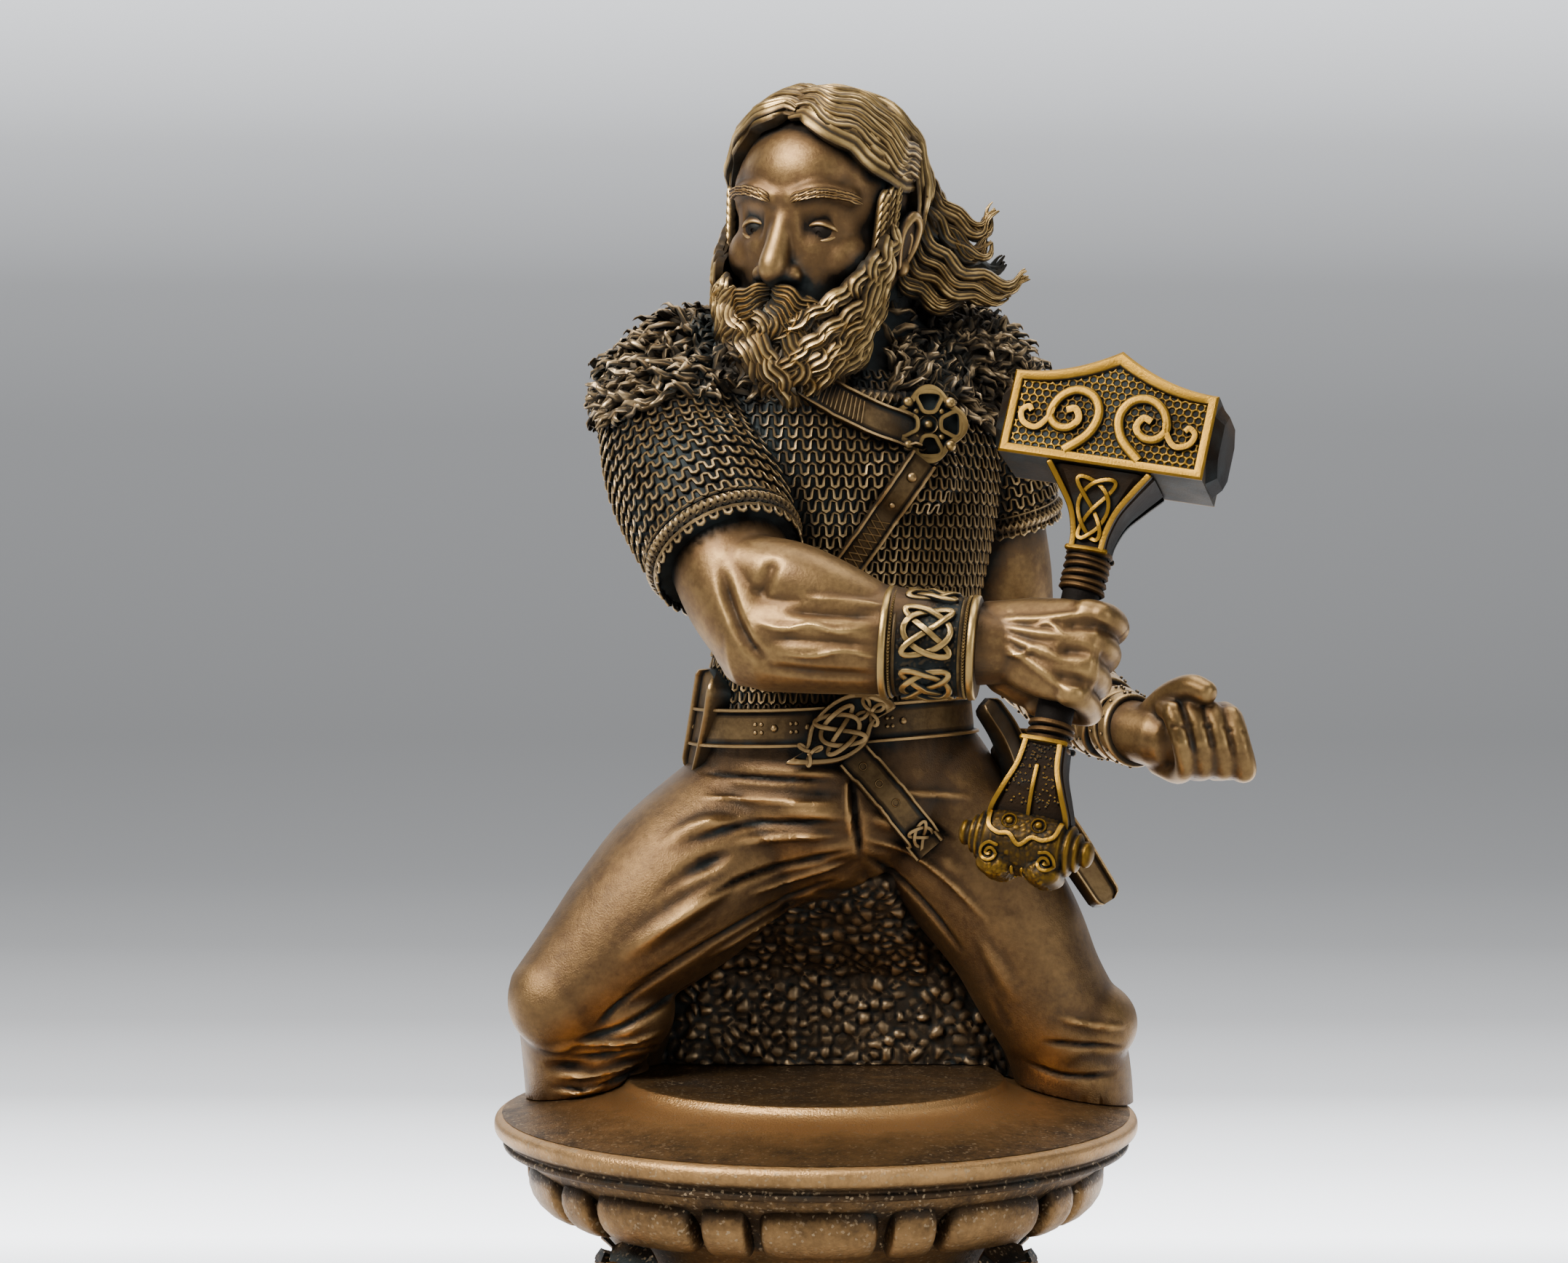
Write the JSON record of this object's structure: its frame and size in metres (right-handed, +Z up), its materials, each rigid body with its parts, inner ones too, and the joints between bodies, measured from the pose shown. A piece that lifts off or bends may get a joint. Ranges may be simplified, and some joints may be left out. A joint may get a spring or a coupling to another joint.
{
  "type": "statuette",
  "caption": "Bronze-look three-quarter figure of a bearded Norse warrior with a war hammer, on a round carved capital stand.",
  "frame": {"origin": "centre of the pedestal's flat underside", "axes": "+Z up, -Y the way the figure faces, +X towards the figure's left hand"},
  "size_m": [0.1856, 0.1602, 0.3367],
  "materials": {
    "figure_bronze": "aged bronze patina on cold-cast resin, dark in the recesses and rubbed gold on the high spots",
    "hammer_bronze": "rubbed gold bronze with dark fields",
    "pedestal_bronze": "dark grainy bronze with bright flecks and rubbed edges"
  },
  "bodies": {
    "root": {"pedestal": "pedestal_bronze", "figure": "figure_bronze", "hammer": "hammer_bronze"}
  },
  "joints": []
}
